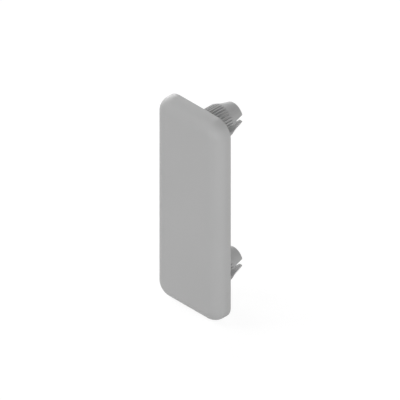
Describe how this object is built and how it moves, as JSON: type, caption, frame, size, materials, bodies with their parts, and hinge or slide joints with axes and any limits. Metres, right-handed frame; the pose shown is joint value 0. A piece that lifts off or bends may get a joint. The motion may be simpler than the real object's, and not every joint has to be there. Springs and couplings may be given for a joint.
{
  "type": "profile end cap",
  "caption": "Rectangular push-in end cap for an aluminium profile, with a softly rounded front edge and ribbed, slotted press plugs on its back.",
  "frame": {"origin": "the middle of the flat back face, which seats on the cut end of the profile", "axes": "+X across the width, +Z along the height, +Y into the profile along the plugs; the visible face looks along -Y"},
  "size_m": [0.0294, 0.0224, 0.0794],
  "materials": {
    "moulding": "finely textured grey moulded plastic"
  },
  "bodies": {
    "root": {"end_cap": "moulding"}
  },
  "joints": []
}
